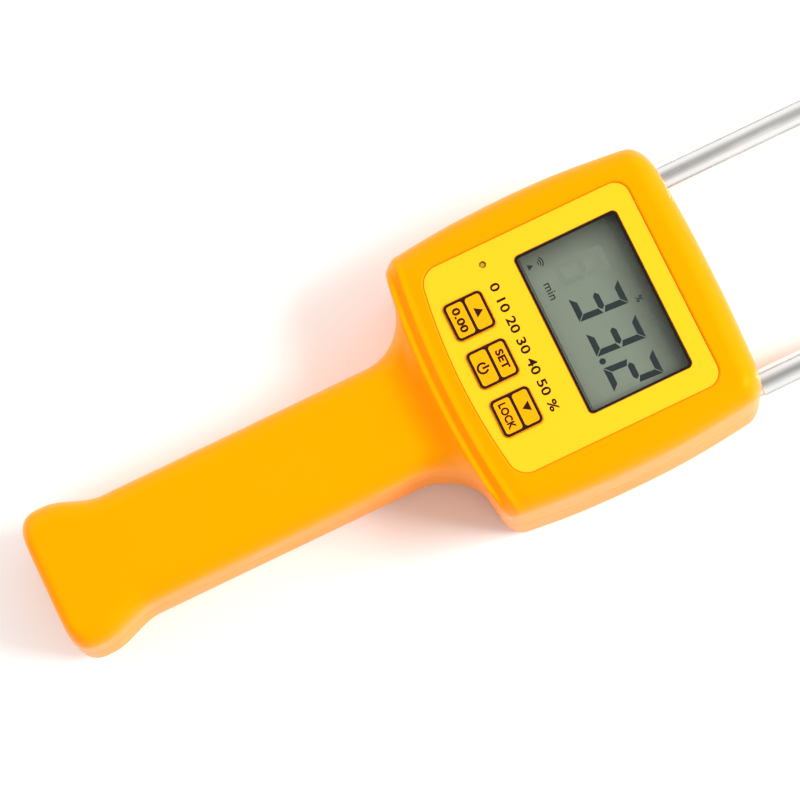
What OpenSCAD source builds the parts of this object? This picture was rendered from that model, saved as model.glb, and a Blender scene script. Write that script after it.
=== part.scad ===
// Long-pin moisture meter: a battery handle, a display head and two steel probe rods.
// It lies on its back. +Y runs from the handle to the probe tips, +Z leaves the display face,
// and the origin is on the resting plane under the middle of the whole length.
// The modules measure y from the handle end, and bench() moves each node to the origin.

/* [Overall] */
// Length from the handle end to the probe tips
overall_length = 460; // [440:5:500]
// Width of the display head at its widest
head_width = 75; // [74:0.5:77]
// Thickness of the display head
head_height = 35; // [34.5:0.1:35.5]
// Distance from the handle end to the head's lower edge
head_base_y = 105.5; // [105:0.1:106]
// Distance from the handle end to the head's upper edge
head_top_y = 180.1; // [179.5:0.1:181]

/* [Handle] */
// Width of the straight grip
handle_width = 29.75; // [29.5:0.05:31]
// Width of the flared end
flare_width = 37.4; // [34:0.2:40]
// Height of the grip's back above the resting plane
handle_back_z = 1.4; // [1.2:0.1:1.6]
// Height of the grip's front above the resting plane
handle_front_z = 27.7; // [27.5:0.1:28.2]

/* [Shells] */
// Wall thickness of both shells
wall = 2.2; // [2:0.1:2.4]
// Height of the joint between the two shells
parting_z = 15; // [14.5:0.1:15.5]

/* [Probes] */
// Outside diameter of a probe rod
rod_d = 8; // [7:0.1:8.4]
// Wall thickness of a probe rod
rod_wall = 1.2; // [0.6:0.1:1.5]
// Distance between the two rods' axes
rod_spacing = 58.2; // [57:0.2:59]
// Height of the rods' axes above the resting plane
rod_z = 8.5; // [8:0.1:9]
// Length of a pointed tip outside its rod
tip_length = 18; // [12:1:24]

/* [Display and keys] */
// Width of the display window
window_w = 43.6; // [40:0.2:44]
// Height of the display window
window_h = 27.95; // [26:0.05:28.5]
// Side of a key's face
key_size = 9.8; // [9:0.1:10.4]
// Distance from key to key
key_pitch = 13.2; // [12.6:0.1:14]
// Travel of a key
key_travel = 0.5; // [0.3:0.1:0.6]

/* [Battery] */
// Diameter of one AAA cell
cell_d = 10.5; // [10:0.1:10.5]
// Length of one AAA cell with its nub
cell_length = 44.5; // [44:0.1:44.5]

/* [Hidden] */
$fn = 48;

// Plan of the shells
end_corner_r = 5.5;
flare_end_y = 7.5;
grip_start_y = 22;
shoulder_r = 12;
shoulder_y = head_base_y - shoulder_r;
base_corner_r = 3.5;
top_corner_r = 4.75;
widest_y = head_base_y + 37.8;
bow_low = 0.00153;
bow_high = 0.00204;
base_bulge = 0.0022;
top_bulge = 0.0011;

// Side view of the shells
end_edge_r = 3;
face_edge_r = 6;
back_edge_r = 3;
grip_front_r = 5.5;
grip_back_r = 5;
step_start_y = head_base_y - 8.2;
step_curve_r = 8;
step_rise = head_height - handle_front_z;
ceiling_z = head_height - wall;
grip_floor_z = handle_back_z + wall;
grip_ceiling_z = handle_front_z - wall;

// Label overlay and display, counted down from the face
overlay_z = head_height - 0.4;
overlay_t = 0.4;
recess_z = overlay_z - overlay_t;
overlay_w = 56.3;
overlay_top_y = head_top_y - 9.9;
overlay_base_y = head_base_y + 7.3;
window_y = head_base_y + 45.75;
window_z = recess_z - 1.2;
window_rim = 0.85;
glass_w = 45.2;
glass_h = 31.2;
glass_t = 2.8;
glass_z = head_height - 6;
frame_wall = 0.8;

// Circuit board, keys and their switches
board_t = 1.6;
board_z = head_height - 10.8;
board_top_z = board_z + board_t;
board_base_y = head_base_y + 8.5;
board_end_y = head_base_y + 63.5;
board_w = 56;
board_tail_w = 50;
keys_y = head_base_y + 16.35;
key_top_z = head_height;
key_gap = 0.15;
key_flange = 1.6;
switch_h = 3.5;
plunger_r = 1.7;
plunger_base_z = board_top_z + 2.8;
plunger_top_z = board_top_z + 4.8;
led_x = -23.4;
led_y = head_base_y + 24.6;
led_r = 1.5;

// Probe rods and their sockets
rod_r = rod_d / 2;
rod_x = rod_spacing / 2;
seat_r = rod_r - 0.5;
rod_start_y = head_base_y + 35.5;
rod_free_y = head_top_y - 0.1;
tip_start_y = overall_length - tip_length;
socket_y = head_base_y + 34.5;
socket_length = 24;
socket_w = 10;
socket_base_z = rod_z - 5.3;
socket_top_z = rod_z + 7;
clamp_y = socket_y + 7;
clamp_screw_r = 1.45;
lug_t = 0.6;

// Battery bay: two layers of two cells
bay_y = 21;
bay_length = cell_length + 4;
bay_end_y = bay_y + bay_length;
cell_x = cell_d / 2 + 0.15;
cell_low_z = 9.1;
cell_high_z = cell_low_z + cell_d + 0.2;
plate_t = 0.4;
rib_t = 1.4;
opening_w = 23.2;
door_y = bay_y - 1;
door_end_y = bay_end_y + 1.5;
door_gap = 0.2;
door_top_z = 3.2;
hook_x = 9.4;
hinge_r = 0.8;
hinge_half = 2.2;
hinge_y = door_y + door_gap + hinge_r;
hinge_z = handle_back_z + hinge_r;

// Screws
case_screw_r = 1.45;
board_screw_r = 0.95;
back_boss_r = 4.2;
front_boss_r = 3;
screw_seat_z = 5;
case_screw_spots = [[-29, head_base_y + 11.5, ceiling_z], [29, head_base_y + 11.5, ceiling_z],
                    [-17, head_base_y + 67, ceiling_z], [17, head_base_y + 67, ceiling_z],
                    [0, 9, grip_ceiling_z], [0, 80, grip_ceiling_z]];
board_screw_spots = [for (x = [-25.8, 25.8], y = [30.5, 58.5]) [x, head_base_y + y]];

// Routes of the wires the case holds, as x, y and z from the handle end
red_route = [[-5.4, 70, 9], [-5.4, 74, 9], [-6, 82, 10], [-7, 92, 13], [-8, 102, 15.5], [-9, 111, 18],
             [-10, 116, 21], [-10, 117, 22.5], [-10, 117, 24.1]];
black_route = [[-5.4, 70, 20], [-5.4, 74, 20], [-6, 82, 19.5], [-8, 94, 18], [-11, 104, 17.5],
               [-13, 111, 18.5], [-14, 116, 21], [-14, 117, 22.5], [-14, 117, 24.1]];
probe_route = [[29, 138, 16.7], [29, 135.5, 16.7], [28, 132, 17.2], [25, 129.5, 18.5], [22, 128, 20.2],
               [20.3, 127, 22], [20, 126.8, 23], [20, 126.8, 24.1]];

// ---- curves of the shells ----

// How far a rounded edge of radius r has fallen at distance d from its end
function edge_drop(r, d) = d >= r ? 0 : r - sqrt(max(0, r * r - (r - d) * (r - d)));

// Smooth share from 0 at a to 1 at b
function blend(a, b, s) =
    let (t = min(1, max(0, (s - a) / (b - a)))) t * t * (3 - 2 * t);

function head_side(s) =
    head_width / 2 - (s < widest_y ? bow_low : bow_high) * pow(s - widest_y, 2);

function shoulder(s) =
    s <= shoulder_y ? 0 : shoulder_r - sqrt(max(0, pow(shoulder_r, 2) - pow(s - shoulder_y, 2)));

// Half the width at station s
function half_width(s) =
    s < head_base_y
        ? handle_width / 2 + (flare_width - handle_width) / 2 * (1 - blend(flare_end_y, grip_start_y, s))
            - edge_drop(end_corner_r, s) + shoulder(s)
        : head_side(s) - edge_drop(base_corner_r, s - head_base_y)
            - edge_drop(top_corner_r, head_top_y - s);

// Share of the rise from the grip to the face, d past the start of the step:
// a concave curve, two flat bevels and the last slope up to the face
function step_share(d) =
    d <= 0 ? 0
    : d < 7 ? (step_curve_r - sqrt(pow(step_curve_r, 2) - d * d)) / 7.3
    : lookup(d, [[7, 0.565], [8.4, 0.74], [11.1, 0.91], [15.3, 1]]);

function front_z(s) =
    handle_front_z + step_rise * step_share(s - step_start_y)
        - edge_drop(end_edge_r, s) - edge_drop(face_edge_r, head_top_y - s);

function back_z(s) =
    handle_back_z * (1 - blend(head_base_y, head_base_y + 3, s))
        + edge_drop(end_edge_r, s) + edge_drop(back_edge_r, head_top_y - s);

function into_head(s) = blend(shoulder_y, head_base_y + 4, s);
function front_r(s) = grip_front_r + (face_edge_r - grip_front_r) * into_head(s);
function back_r(s) = grip_back_r + (back_edge_r - grip_back_r) * into_head(s);

// The head's lower and upper edges bulge outwards along the middle
function bulge(s) =
    base_bulge * blend(shoulder_y, head_base_y - 2, s) * (1 - blend(head_base_y + 7, head_base_y + 25, s))
    - top_bulge * blend(head_base_y + 45, head_base_y + 66, s);

// Stations along the length, closest where the shape turns
stations = concat(
    [for (a = [0:15:90]) end_corner_r * (1 - cos(a))],
    [for (k = [1:8]) end_corner_r + k * (grip_start_y - end_corner_r) / 8],
    [50, 75],
    [for (d = [12, 9, 8.2, 6, 4.6, 3.4, 2.3, 1.2, 0.4, 0.05]) head_base_y - d],
    [for (a = [0:18:90]) head_base_y + base_corner_r * (1 - cos(a))],
    [for (d = [5, 7.1, 10, 15, 22, 30, 37.8, 46, 56, 63]) head_base_y + d],
    [for (a = [90:-15:0]) head_top_y - face_edge_r * (1 - cos(a))]);

// The lowest value of three neighbours keeps the inner skin a wall away along y too
function inner_stations(t) =
    concat([t], [for (s = stations) if (s > t + 0.4 && s < head_top_y - t - 0.4) s], [head_top_y - t]);
function near_width(s, t) = min([for (d = [-t, 0, t]) half_width(s + d)]) - t;
function near_front(s, t) = min([for (d = [-t, 0, t]) front_z(s + d)]) - t;
function near_back(s, t) = max([for (d = [-t, 0, t]) back_z(s + d)]) + t;

// Half a section: from the joint up one side, round the edge, across and down. up is 1 for the
// front half and -1 for the back, t is the inset, and join_z the height it is closed at.
function section(s, up, t, join_z) =
    let (w = t > 0 ? near_width(s, t) : half_width(s),
         z = up > 0 ? (t > 0 ? near_front(s, t) : front_z(s)) : (t > 0 ? near_back(s, t) : back_z(s)),
         r = max(0.8, (up > 0 ? front_r(s) : back_r(s)) - t),
         flat = [for (k = [-1:0.25:1]) [-k * (w - r), z]],
         corner = [for (a = [0:18:72]) [w - r + r * cos(a), z - up * (r - r * sin(a))]],
         half = concat([[w, join_z]], corner),
         outline = concat(half, flat, [for (k = [len(half) - 1:-1:0]) [-half[k][0], half[k][1]]]))
    [for (p = outline) [p[0], s + bulge(s) * p[0] * p[0], p[1]]];

// Closed solid through a list of rings of equal length that turn left about the way they go
module through_rings(rings) {
    n = len(rings[0]);
    last = (len(rings) - 1) * n;
    sides = [for (i = [0:len(rings) - 2], j = [0:n - 1])
        let (a = i * n + j, b = i * n + (j + 1) % n)
        each [[a, b, b + n], [a, b + n, a + n]]];
    ends = [for (k = [1:n - 2]) each [[0, k + 1, k], [last, last + k, last + k + 1]]];
    polyhedron(points = [for (r = rings) each r], faces = concat(sides, ends));
}

module shell_half(up, t, join_z) {
    list = t > 0 ? inner_stations(t) : stations;
    rings = [for (s = list) section(s, up, t, join_z)];
    through_rings(up > 0 ? rings : [for (r = rings) [for (k = [len(r) - 1:-1:0]) r[k]]]);
}

// ---- shared shapes ----

module bench() {
    translate([0, -overall_length / 2, 0]) children();
}

module round_rect(w, h, r) {
    square([w - 2 * r, h], center = true);
    square([w, h - 2 * r], center = true);
    for (x = [-1, 1], y = [-1, 1])
        translate([x * (w / 2 - r), y * (h / 2 - r)]) circle(r);
}

// A plate with round corners, its base at z
module plate(w, h, r, z, t) {
    translate([0, 0, z]) linear_extrude(t) round_rect(w, h, r);
}

// A cylinder along +Y
module bar(r, x, y, z, length) {
    translate([x, y, z]) rotate([-90, 0, 0]) cylinder(r = r, h = length);
}

// A pan-head screw that points up, its head's seat at z = 0, with a tip that narrows to end_r
module screw(head_r, head_h, shank_r, length, tip, end_r) {
    difference() {
        union() {
            cylinder(r = shank_r, h = length - tip);
            translate([0, 0, length - tip]) cylinder(r1 = shank_r, r2 = end_r, h = tip);
            translate([0, 0, -head_h]) cylinder(r = head_r, h = head_h);
        }
        for (a = [0, 90])
            rotate(a) translate([-head_r * 0.6, -0.3, -head_h - 1]) cube([head_r * 1.2, 0.6, 1 + head_h * 0.6]);
    }
}

// A smooth curve through a route's points, with n rings from each point to the next
function curve_point(p, i, t) =
    let (a = p[max(0, i - 1)], b = p[i], c = p[i + 1], d = p[min(len(p) - 1, i + 2)])
    0.5 * (2 * b + t * (c - a) + t * t * (2 * a - 5 * b + 4 * c - d) + t * t * t * (3 * b - a - 3 * c + d));
function smooth_route(p, n) =
    concat([for (i = [0:len(p) - 2], k = [0:n - 1]) curve_point(p, i, k / n)], [p[len(p) - 1]]);
function unit(v) = v / norm(v);

// A tube of radius r along a path that never runs along the side vector
module tube(path, r, sides, side) {
    count = len(path);
    through_rings([for (i = [0:count - 1])
        let (ahead = unit(path[min(count - 1, i + 1)] - path[max(0, i - 1)]),
             u = unit(cross(side, ahead)),
             v = cross(ahead, u))
        [for (k = [0:sides - 1])
            let (a = -360 * (k + 0.5) / sides) path[i] + r * (cos(a) * u + sin(a) * v)]]);
}

module label_outline(grow) {
    base_r = 105;
    offset(delta = grow) intersection() {
        translate([0, (overlay_top_y + overlay_base_y - 40) / 2])
            round_rect(overlay_w, overlay_top_y - overlay_base_y + 40, 4);
        offset(r = 6.5, $fn = 64) offset(delta = -6.5) intersection() {
            translate([-overlay_w / 2, overlay_base_y - 1]) square([overlay_w, 90]);
            translate([0, overlay_base_y + base_r]) circle(base_r, $fn = 180);
        }
    }
}

module at_keys() {
    for (k = [-1:1]) translate([k * key_pitch, keys_y]) children();
}

module key_openings(gap, z, t) {
    at_keys() plate(key_size + 2 * gap, key_size + 2 * gap, 1.2 + gap, z, t);
}

// ---- casing ----

module front_shell() {
    color([1, 0.72, 0.03]) difference() {
        union() {
            difference() {
                shell_half(1, 0, parting_z);
                shell_half(1, wall, parting_z - 1);
            }
            for (p = case_screw_spots)
                translate([p[0], p[1], parting_z]) cylinder(r = front_boss_r, h = p[2] + 0.8 - parting_z);
            for (p = board_screw_spots)
                translate([p[0], p[1], board_top_z]) cylinder(r = 2, h = ceiling_z + 0.8 - board_top_z);
            for (y = [bay_y - plate_t - rib_t, bay_end_y + plate_t]) translate([0, y, parting_z]) {
                translate([1 - handle_width / 2, 0, 0]) cube([handle_width - 2, rib_t, 6]);
                translate([4 - handle_width / 2, 0, 0])
                    cube([handle_width - 8, rib_t, grip_ceiling_z + 0.8 - parting_z]);
            }
        }
        translate([0, 0, recess_z]) linear_extrude(1) label_outline(0.15);
        translate([0, window_y, 0]) {
            plate(window_w - 2 * window_rim, window_h - 2 * window_rim, 1, ceiling_z - 1, 3);
            plate(window_w + 1, window_h + 1, 1.5, window_z, 2);
        }
        key_openings(key_gap, ceiling_z - 1, 4);
        translate([led_x, led_y, ceiling_z - 1]) cylinder(r = led_r + 0.1, h = 3);
        for (p = case_screw_spots)
            translate([p[0], p[1], parting_z - 1]) cylinder(r = case_screw_r + 0.05, h = 9.5);
        for (p = board_screw_spots)
            translate([p[0], p[1], board_top_z - 1]) cylinder(r = board_screw_r + 0.05, h = 6);
        bar(1.3, black_route[0][0], bay_end_y, black_route[0][2], 4);
    }
}

// Saddles that hold one probe socket, on the side given by side
module rod_cradle(side) {
    for (y = [socket_y - rib_t - 0.1, socket_y + socket_length + 0.1])
        translate([side > 0 ? rod_x - 6.5 : -rod_x - 5.2, y, wall - 0.5]) cube([11.7, rib_t, 8]);
    translate([side * (rod_x - 5.8) - 0.6, socket_y, wall - 0.5]) cube([1.2, socket_length, 7]);
}

module back_shell() {
    color([1, 0.70, 0.02]) difference() {
        union() {
            difference() {
                shell_half(-1, 0, parting_z);
                shell_half(-1, wall, parting_z + 1);
            }
            for (p = case_screw_spots)
                translate([p[0], p[1], 1.8]) cylinder(r = back_boss_r, h = parting_z - 1.8);
            for (side = [-1, 1]) rod_cradle(side);
            for (y = [bay_y - plate_t - rib_t, bay_end_y + plate_t])
                translate([-handle_width / 2 + 1, y, 5.8]) cube([handle_width - 2, rib_t, parting_z - 5.8]);
        }
        for (p = case_screw_spots) translate([p[0], p[1], -1]) {
            cylinder(r = 3, h = 1 + screw_seat_z);
            cylinder(r = case_screw_r + 0.25, h = 30);
        }
        for (side = [-1, 1]) bar(seat_r + 0.05, side * rod_x, socket_y + 1, rod_z, 60);
        bar(1.3, red_route[0][0], bay_end_y, red_route[0][2], 4);
        translate([-opening_w / 2, door_y, -1]) cube([opening_w, door_end_y - door_y, 5.5]);
    }
}

// The door is cut from the same outside surface as the back shell. Its lower edge is round and
// turns in the opening's corner, two hooks reach behind that edge of the shell, and a thumb
// tongue with ridges is at the other end.
module battery_door() {
    color([1, 0.70, 0.02]) {
        difference() {
            intersection() {
                shell_half(-1, 0, parting_z);
                translate([-opening_w / 2 + door_gap, door_y + door_gap, 0])
                    cube([opening_w - 2 * door_gap, door_end_y - door_y - 2 * door_gap, door_top_z]);
            }
            translate([-opening_w, hinge_y - 2, hinge_z - 2]) cube([2 * opening_w, 2, 2]);
            for (x = [-4.6, 4]) translate([x, door_end_y - 9, -1]) cube([0.6, 10, 6]);
            for (k = [0:3]) translate([-3, door_end_y - 3 - 1.5 * k, 0]) cube([6, 0.7, handle_back_z + 0.4]);
        }
        translate([hinge_half - opening_w / 2, hinge_y, hinge_z]) rotate([0, 90, 0])
            cylinder(r = hinge_r, h = opening_w - 2 * hinge_half);
        for (x = [-hook_x, hook_x]) {
            translate([x - 1.2, door_y + door_gap, door_top_z - 0.5]) cube([2.4, 1.2, 1.9]);
            translate([x - 1.2, door_y - 1.5, grip_floor_z + 0.2]) cube([2.4, 2.9, 0.8]);
        }
    }
}

module case_screws() {
    color([0.55, 0.55, 0.57]) for (p = case_screw_spots)
        translate([p[0], p[1], screw_seat_z]) screw(2.7, 2, case_screw_r, 17, 3, 0.2);
}

// ---- face ----

module label_overlay() {
    color([1, 0.88, 0.18]) difference() {
        translate([0, 0, recess_z]) linear_extrude(overlay_t) label_outline(0);
        translate([0, window_y]) plate(window_w + 0.1, window_h + 0.1, 1.5, recess_z - 1, 3);
        key_openings(key_gap, recess_z - 1, 3);
        translate([led_x, led_y, recess_z - 1]) cylinder(r = 0.9, h = 3);
    }
}

module display_window() {
    color([0.8, 0.85, 0.8, 0.35]) translate([0, window_y]) {
        plate(window_w + 0.8, window_h + 0.8, 1.4, window_z, recess_z - window_z);
        plate(window_w - 0.1, window_h - 0.1, 1.4, recess_z, overlay_t - 0.1);
    }
}

module key_cap(place) {
    color([1, 0.78, 0.05]) translate([place * key_pitch, keys_y]) {
        plate(key_size, key_size, 1.2, ceiling_z - 0.4, key_top_z - ceiling_z + 0.4);
        plate(key_size + key_flange, key_size + key_flange, 1.5, ceiling_z - 1.2, 1);
        translate([0, 0, plunger_top_z]) cylinder(r = 2, h = ceiling_z - 1 - plunger_top_z);
    }
}

module zero_key() { key_cap(-1); }
module power_key() { key_cap(0); }
module hold_key() { key_cap(1); }

// ---- display module ----

module lcd_panel() {
    color([0.52, 0.55, 0.49]) translate([0, window_y, glass_z + glass_t / 2])
        cube([glass_w, glass_h, glass_t], center = true);
}

module lcd_frame() {
    top_z = ceiling_z - 0.2;
    color([0.12, 0.12, 0.12]) translate([0, window_y]) difference() {
        plate(glass_w + 0.2 + 2 * frame_wall, glass_h + 0.2 + 2 * frame_wall, 1, board_top_z, top_z - board_top_z);
        translate([0, 0, board_top_z + (glass_z + glass_t - board_top_z) / 2 - 0.5])
            cube([glass_w + 0.2, glass_h + 0.2, glass_z + glass_t - board_top_z + 1], center = true);
        cube([glass_w - 1.6, glass_h - 1.6, 100], center = true);
    }
}

module zebra_connectors() {
    color([0.2, 0.2, 0.22]) for (side = [-1, 1])
        translate([-20, window_y + side * (glass_h / 2 - 1.5) - 1, board_top_z])
            cube([40, 2, glass_z - board_top_z]);
}

// ---- circuit board ----

module main_board() {
    tail_y = head_base_y + 18;
    color([0.05, 0.35, 0.15]) difference() {
        translate([0, 0, board_z]) linear_extrude(board_t) {
            translate([-board_tail_w / 2, board_base_y]) square([board_tail_w, board_end_y - board_base_y]);
            translate([-board_w / 2, tail_y]) square([board_w, board_end_y - tail_y]);
        }
        for (p = board_screw_spots) translate([p[0], p[1], board_z - 1]) cylinder(r = 1.2, h = 4);
    }
}

// A flat chip under the board with its legs on two sides
module controller_chip() {
    legs = 12;
    pitch = 1;
    color([0.08, 0.08, 0.09]) translate([0, head_base_y + 44, board_z - 2]) {
        translate([-5, -6.5, 0]) cube([10, 13, 1.7]);
        for (side = [-1, 1], k = [0:legs - 1])
            translate([side * 5.6 - 0.8, (k - (legs - 1) / 2) * pitch - 0.2, 0.7]) cube([1.6, 0.4, 1.3]);
    }
}

module crystal() {
    color([0.75, 0.75, 0.77]) translate([-3.2, head_base_y + 30, board_z - 3.4]) {
        cube([6.4, 4.6, 3.4]);
        for (x = [0, 6.4]) translate([x, 2.3]) cylinder(r = 2.3, h = 3.4);
    }
}

module capacitors() {
    color([0.15, 0.2, 0.45]) for (x = [-15, 15])
        translate([x, head_base_y + 24, board_z - 6.8]) cylinder(r = 2.5, h = 6.8);
}

module resistors() {
    color([0.1, 0.1, 0.1]) for (x = [-12, -9, 9, 12], y = [36, 41, 46])
        translate([x, head_base_y + y, board_z - 0.55]) cube([1.25, 2, 0.55]);
}

module trimmer() {
    color([0.1, 0.25, 0.6]) translate([14, head_base_y + 56, board_z - 4.2]) difference() {
        union() {
            translate([-3.2, -3.2, 0.6]) cube([6.4, 6.4, 3.6]);
            cylinder(r = 2.2, h = 1);
        }
        translate([-1.8, -0.3, -1]) cube([3.6, 0.6, 1.5]);
    }
}

module status_led() {
    color([0.55, 0.55, 0.1]) translate([led_x, led_y]) {
        translate([0, 0, recess_z - 1.6]) sphere(led_r);
        translate([0, 0, recess_z - 5]) cylinder(r = led_r, h = 3.4);
        for (x = [-0.6, 0.6]) translate([x - 0.2, -0.2, board_top_z]) cube([0.4, 0.4, recess_z - 4.5 - board_top_z]);
    }
}

module key_switches() {
    color([0.15, 0.15, 0.16]) at_keys() difference() {
        translate([-3, -3, board_top_z]) cube([6, 6, switch_h]);
        translate([0, 0, plunger_base_z - key_travel - 0.3]) cylinder(r = plunger_r + 0.05, h = switch_h);
    }
}

module plunger(place) {
    color([0.8, 0.8, 0.75]) translate([place * key_pitch, keys_y, plunger_base_z])
        cylinder(r = plunger_r, h = plunger_top_z - plunger_base_z);
}

module zero_plunger() { plunger(-1); }
module power_plunger() { plunger(0); }
module hold_plunger() { plunger(1); }

module board_screws() {
    color([0.55, 0.55, 0.57]) for (p = board_screw_spots)
        translate([p[0], p[1], board_z]) screw(1.8, 1.3, board_screw_r, 6, 2, 0.2);
}

// ---- probes ----

// A tube whose inner end is turned down a little where it sits in the case
module probe_rod(side) {
    color([0.75, 0.75, 0.74]) difference() {
        union() {
            bar(seat_r, side * rod_x, rod_start_y, rod_z, rod_free_y - rod_start_y);
            bar(rod_r, side * rod_x, rod_free_y, rod_z, tip_start_y - rod_free_y);
        }
        bar(rod_r - rod_wall, side * rod_x, rod_start_y - 1, rod_z, tip_start_y - rod_start_y + 2);
    }
}

module probe_tip(side) {
    plug_length = 14;
    color([0.75, 0.75, 0.74]) {
        bar(rod_r - rod_wall, side * rod_x, tip_start_y - plug_length, rod_z, plug_length);
        translate([side * rod_x, tip_start_y, rod_z]) rotate([-90, 0, 0])
            cylinder(r1 = rod_r, r2 = 0.4, h = tip_length);
    }
}

module probe_socket(side) {
    color([0.8, 0.65, 0.3]) difference() {
        translate([side * rod_x - socket_w / 2, socket_y, socket_base_z])
            cube([socket_w, socket_length, socket_top_z - socket_base_z]);
        bar(seat_r + 0.02, side * rod_x, rod_start_y - 0.2, rod_z, socket_length);
        for (y = [clamp_y, clamp_y + 10])
            translate([side * rod_x, y, rod_z]) cylinder(r = clamp_screw_r + 0.05, h = 10);
    }
}

// Two screws clamp each rod, and the first one of them holds the wire's lug as well
module clamp_screws() {
    color([0.6, 0.6, 0.62]) for (side = [-1, 1], k = [0, 1]) {
        seat_z = socket_top_z + (k == 0 ? lug_t : 0);
        translate([side * rod_x, clamp_y + 10 * k, seat_z]) mirror([0, 0, 1])
            screw(2.6, 1.8, clamp_screw_r, seat_z - rod_z - seat_r, 0.5, 1);
    }
}

module probe_lugs() {
    color([0.8, 0.8, 0.8]) for (side = [-1, 1]) translate([side * rod_x, clamp_y, socket_top_z]) {
        difference() {
            union() {
                cylinder(r = 2.9, h = lug_t);
                translate([-1, -5, 0]) cube([2, 4, lug_t]);
            }
            translate([0, 0, -1]) cylinder(r = 1.6, h = 3);
        }
        bar(1.2, 0, -9, 1.2, 4.2);
    }
}

module probe_wire(side) {
    color([0.1, 0.1, 0.1])
        tube(smooth_route([for (p = probe_route) [side * p[0], p[1], p[2]]], 3), 0.7, 8, [1, 0, 0]);
}

module probe_rod_left() { probe_rod(-1); }
module probe_rod_right() { probe_rod(1); }
module probe_tip_left() { probe_tip(-1); }
module probe_tip_right() { probe_tip(1); }
module probe_socket_left() { probe_socket(-1); }
module probe_socket_right() { probe_socket(1); }
module probe_wire_left() { probe_wire(-1); }
module probe_wire_right() { probe_wire(1); }

// ---- battery bay ----

// One cell with its nub towards +Y where up is 1 and towards -Y where it is -1
module cell(x, z, up) {
    nub = 0.8;
    can_y = up > 0 ? bay_end_y - cell_length : bay_y + nub;
    color([0.15, 0.3, 0.55]) {
        bar(cell_d / 2, x, can_y, z, cell_length - nub);
        bar(1.9, x, up > 0 ? bay_end_y - nub : bay_y, z, nub);
    }
}

module cell_1() { cell(-cell_x, cell_low_z, 1); }
module cell_2() { cell(cell_x, cell_low_z, -1); }
module cell_3() { cell(cell_x, cell_high_z, 1); }
module cell_4() { cell(-cell_x, cell_high_z, -1); }

// A cone spring whose turns run along +Y from its wide base
module cone_spring(x, y, z, along) {
    turns = 3;
    steps = 36;
    length = bay_length - cell_length - 0.8;
    tube([for (k = [0:steps])
            let (a = 360 * turns * k / steps, r = 3.2 - 1.6 * k / steps)
            [x + r * cos(a), y + along * (0.4 + length * k / steps), z + r * sin(a)]],
        0.3, 6, [0, 1, 0]);
}

module battery_springs() {
    color([0.75, 0.75, 0.72]) {
        cone_spring(-cell_x, bay_y, cell_low_z, 1);
        cone_spring(cell_x, bay_y, cell_high_z, 1);
        cone_spring(cell_x, bay_end_y, cell_low_z, -1);
        cone_spring(-cell_x, bay_end_y, cell_high_z, -1);
    }
}

module contact(x, y, z, w, h) {
    translate([x - w / 2, y, z - h / 2]) cube([w, plate_t, h]);
}

module battery_contacts() {
    tall = cell_high_z - cell_low_z + 7;
    color([0.8, 0.8, 0.78]) {
        for (z = [cell_low_z, cell_high_z]) contact(0, bay_y - plate_t, z, 19, 6);
        for (z = [cell_low_z, cell_high_z]) contact(-cell_x, bay_end_y, z, 8, 6.6);
        contact(cell_x, bay_end_y, (cell_low_z + cell_high_z) / 2, 8, tall);
    }
}

module battery_lead_red() {
    color([0.75, 0.05, 0.05]) tube(smooth_route(red_route, 3), 0.7, 8, [1, 0, 0]);
}

module battery_lead_black() {
    color([0.06, 0.06, 0.06]) tube(smooth_route(black_route, 3), 0.7, 8, [1, 0, 0]);
}

bench() front_shell();
bench() back_shell();
bench() label_overlay();
bench() display_window();
bench() lcd_panel();
bench() lcd_frame();
bench() zebra_connectors();
bench() main_board();
bench() controller_chip();
bench() crystal();
bench() capacitors();
bench() resistors();
bench() trimmer();
bench() status_led();
bench() key_switches();
bench() zero_key();
bench() power_key();
bench() hold_key();
bench() zero_plunger();
bench() power_plunger();
bench() hold_plunger();
bench() probe_rod_left();
bench() probe_rod_right();
bench() probe_tip_left();
bench() probe_tip_right();
bench() probe_socket_left();
bench() probe_socket_right();
bench() clamp_screws();
bench() probe_lugs();
bench() probe_wire_left();
bench() probe_wire_right();
bench() cell_1();
bench() cell_2();
bench() cell_3();
bench() cell_4();
bench() battery_springs();
bench() battery_contacts();
bench() battery_lead_red();
bench() battery_lead_black();
bench() battery_door();
bench() case_screws();
bench() board_screws();
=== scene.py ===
"""Looks for the long-pin moisture meter: casing, face film, display, keys, probes and battery bay."""

import math

import bpy
from mathutils import Matrix, Vector


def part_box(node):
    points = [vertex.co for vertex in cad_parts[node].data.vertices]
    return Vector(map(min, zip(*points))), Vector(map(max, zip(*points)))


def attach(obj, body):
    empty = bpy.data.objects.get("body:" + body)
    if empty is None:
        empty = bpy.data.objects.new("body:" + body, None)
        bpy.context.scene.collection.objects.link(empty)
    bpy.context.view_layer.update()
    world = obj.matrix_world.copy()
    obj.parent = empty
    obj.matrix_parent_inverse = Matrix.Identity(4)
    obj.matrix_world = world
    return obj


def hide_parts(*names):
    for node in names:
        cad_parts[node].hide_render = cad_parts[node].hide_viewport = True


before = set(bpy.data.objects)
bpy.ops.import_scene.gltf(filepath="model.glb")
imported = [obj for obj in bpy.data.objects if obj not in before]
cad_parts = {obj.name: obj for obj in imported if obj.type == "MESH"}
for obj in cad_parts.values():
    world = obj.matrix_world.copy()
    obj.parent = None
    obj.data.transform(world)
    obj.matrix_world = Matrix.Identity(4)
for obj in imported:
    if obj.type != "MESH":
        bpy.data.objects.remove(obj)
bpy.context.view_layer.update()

bl_info = {
    "name": "Moisture Meter",
    "version": (1, 0, 0),
    "blender": (4, 5, 0),
    "location": "View3D > Sidebar > Meter",
    "description": "Builds the visible pieces of a long-pin moisture meter round its packed CAD model",
    "category": "Object",
}

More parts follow.
